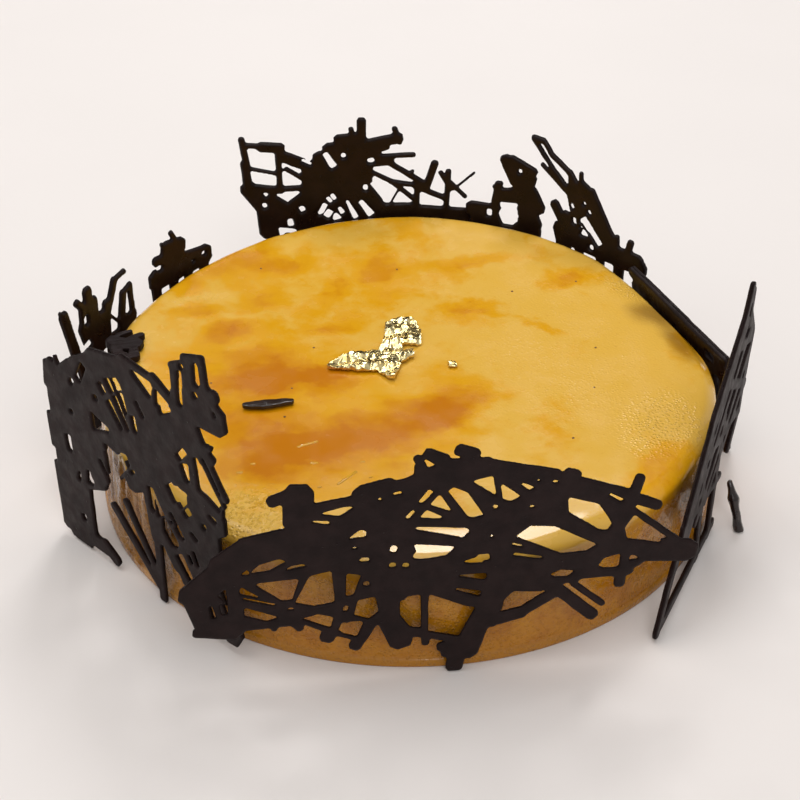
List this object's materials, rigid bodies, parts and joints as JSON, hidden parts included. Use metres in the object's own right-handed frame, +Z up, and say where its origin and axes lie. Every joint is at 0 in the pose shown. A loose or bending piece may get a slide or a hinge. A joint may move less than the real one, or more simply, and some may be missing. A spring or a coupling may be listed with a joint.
{
  "type": "glazed mousse cake",
  "caption": "Low round mousse cake with a mirror glaze, ringed by broken upright panels of chocolate lattice, with gold leaf on top.",
  "frame": {"origin": "centre of the cake's underside", "axes": "+Z up, -Y towards the front of the picture"},
  "size_m": [0.2455, 0.2355, 0.1094],
  "materials": {
    "cake": "amber and cream mirror glaze, wet gloss",
    "chocolate": "dark chocolate, satin outside and glossy inside",
    "gold": "crumpled edible gold leaf"
  },
  "bodies": {
    "root": {"cake": "cake", "lattice_front": "chocolate", "lattice_left": "chocolate", "lattice_left_rear": "chocolate", "lattice_back_left": "chocolate", "lattice_back": "chocolate", "lattice_back_flake": "chocolate", "lattice_back_right": "chocolate", "lattice_right_rear": "chocolate", "lattice_right": "chocolate", "right_splinter": "chocolate", "rim_twigs": "chocolate", "chocolate_shard": "chocolate", "gold_leaf": "gold", "gold_fleck": "gold"}
  },
  "joints": []
}
